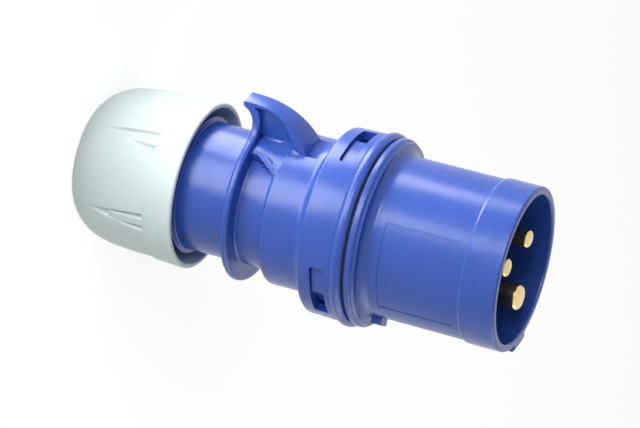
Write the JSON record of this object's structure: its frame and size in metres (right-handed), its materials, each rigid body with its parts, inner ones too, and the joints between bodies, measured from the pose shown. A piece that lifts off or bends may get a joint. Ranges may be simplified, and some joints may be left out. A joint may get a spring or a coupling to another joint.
{
  "type": "industrial pin and sleeve plug",
  "caption": "Industrial pin and sleeve plug for a cable end, with a round shroud round its contact pins, a finger hook and a screwed cable gland.",
  "frame": {"origin": "centre of the cable hole in the rear face of the gland nut, which is the face the plug stands on", "axes": "+Z along the plug's axis from the cable end to the contact pins; -X is the side of the finger hook, +X the side of the earth pin and the key"},
  "size_m": [0.0566, 0.0522, 0.123],
  "materials": {
    "housing_blue": "satin moulded polyamide",
    "nut_grey": "matte moulded polyamide",
    "insert_black": "satin moulded",
    "contact_brass": "polished",
    "screw_steel": "zinc plated",
    "guard_steel": "spring steel",
    "seal_rubber": "matte",
    "clamp_plastic": "natural polyamide"
  },
  "bodies": {
    "gland": {"slip_ring": "clamp_plastic"},
    "nut": {"gland_nut": "nut_grey"},
    "plug": {"front_housing": "housing_blue", "rear_housing": "housing_blue", "contact_carrier": "insert_black", "carrier_back_plate": "insert_black", "back_plate_screw": "screw_steel", "earth_pin": "contact_brass", "line_pin": "contact_brass", "neutral_pin": "contact_brass", "earth_terminal_screw": "screw_steel", "line_terminal_screw": "screw_steel", "neutral_terminal_screw": "screw_steel", "earth_wire_guard": "guard_steel", "line_wire_guard": "guard_steel", "neutral_wire_guard": "guard_steel", "housing_seal": "seal_rubber", "gland_seal": "seal_rubber", "clamp_cage": "clamp_plastic"}
  },
  "joints": [
    {"name": "nut_turn", "type": "hinge", "parent": "gland", "child": "nut", "pos_m": [0, 0, 0], "axis": [0, 0, -1], "range_deg": [0, 990]},
    {"name": "plug_slide", "type": "slide", "parent": "gland", "child": "plug", "axis": [0, 0, 1], "range_m": [0, 0.00825]}
  ],
  "couplings": [
    {"joint": "nut_turn", "follows": "plug_slide", "rad_per_m": 2094.4}
  ]
}
